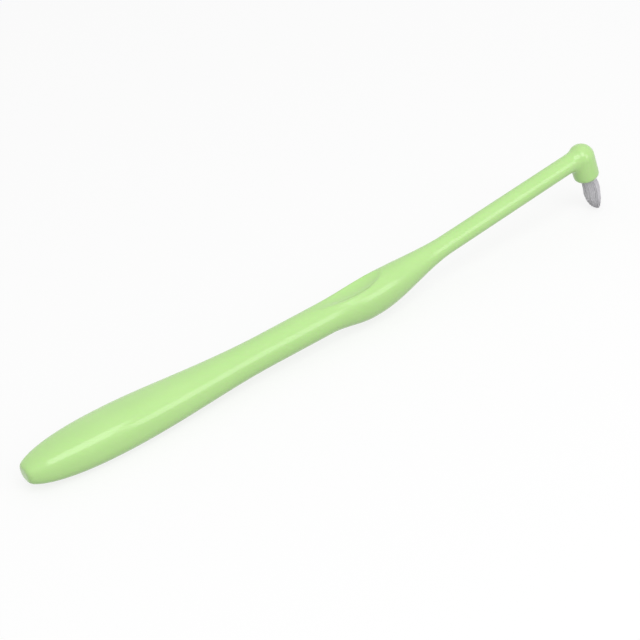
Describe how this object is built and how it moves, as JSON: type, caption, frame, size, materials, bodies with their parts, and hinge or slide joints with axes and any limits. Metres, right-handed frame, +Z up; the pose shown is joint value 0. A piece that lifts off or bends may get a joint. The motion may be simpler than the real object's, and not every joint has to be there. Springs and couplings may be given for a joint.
{
  "type": "single tuft toothbrush",
  "caption": "Slender moulded toothbrush handle with a bulbous grip, a thumb rest and a small domed head that carries one pointed round tuft of bristles.",
  "frame": {"origin": "on the table, under the middle of the overall length, in the plane of symmetry", "axes": "+X from the grip end to the head, +Z up from the table, +Y across the handle; the tuft points down"},
  "size_m": [0.1672, 0.0132, 0.0196],
  "materials": {
    "handle_plastic": "glossy pale green moulded polypropylene",
    "anchor_metal": "bare drawn metal",
    "bristle_nylon": "semi-clear pale grey nylon filament"
  },
  "bodies": {
    "root": {"handle": "handle_plastic", "tuft_anchor": "anchor_metal", "bristle_tuft": "bristle_nylon"}
  },
  "joints": []
}
